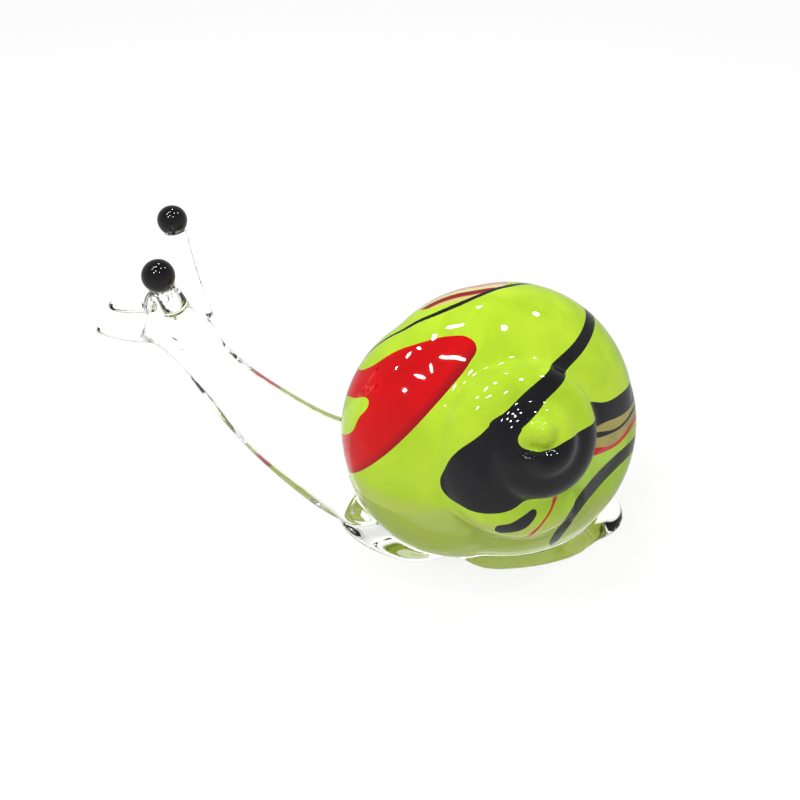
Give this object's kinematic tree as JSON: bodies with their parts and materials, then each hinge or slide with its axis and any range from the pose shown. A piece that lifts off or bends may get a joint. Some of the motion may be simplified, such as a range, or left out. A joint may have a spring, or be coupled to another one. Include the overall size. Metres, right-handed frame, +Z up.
{
  "type": "glass snail figurine",
  "caption": "Small glass snail ornament: a clear body with raised head and eye stalks, and a coiled green shell with black, red and tan trails.",
  "frame": {"origin": "middle of the bounding box, on the surface that the foot stands on", "axes": "+Z up, -X the way the snail looks, -Y the snail's left, where the spire of the shell is"},
  "size_m": [0.0608, 0.0254, 0.0393],
  "materials": {
    "clear_glass": "fire polished",
    "green_glass": "fire polished, opaque",
    "black_glass": "fire polished, opaque",
    "red_glass": "fire polished, opaque",
    "tan_glass": "fire polished, opaque"
  },
  "bodies": {
    "root": {"foot": "clear_glass", "neck": "clear_glass", "head": "clear_glass", "upper_lip": "clear_glass", "lower_lip": "clear_glass", "left_tentacle": "clear_glass", "right_tentacle": "clear_glass", "left_eye_bead": "black_glass", "right_eye_bead": "black_glass", "shell_body": "green_glass", "spire_coil": "green_glass", "spire_black_swirl": "black_glass", "main_black_trail": "black_glass", "top_black_trail": "black_glass", "front_red_flake": "red_glass", "top_red_flake": "red_glass", "rear_black_trail": "black_glass", "rear_black_line": "black_glass", "rear_red_line": "red_glass", "rear_tan_trail": "tan_glass", "lower_black_trail": "black_glass", "base_black_patch": "black_glass", "base_red_line": "red_glass"}
  },
  "joints": []
}
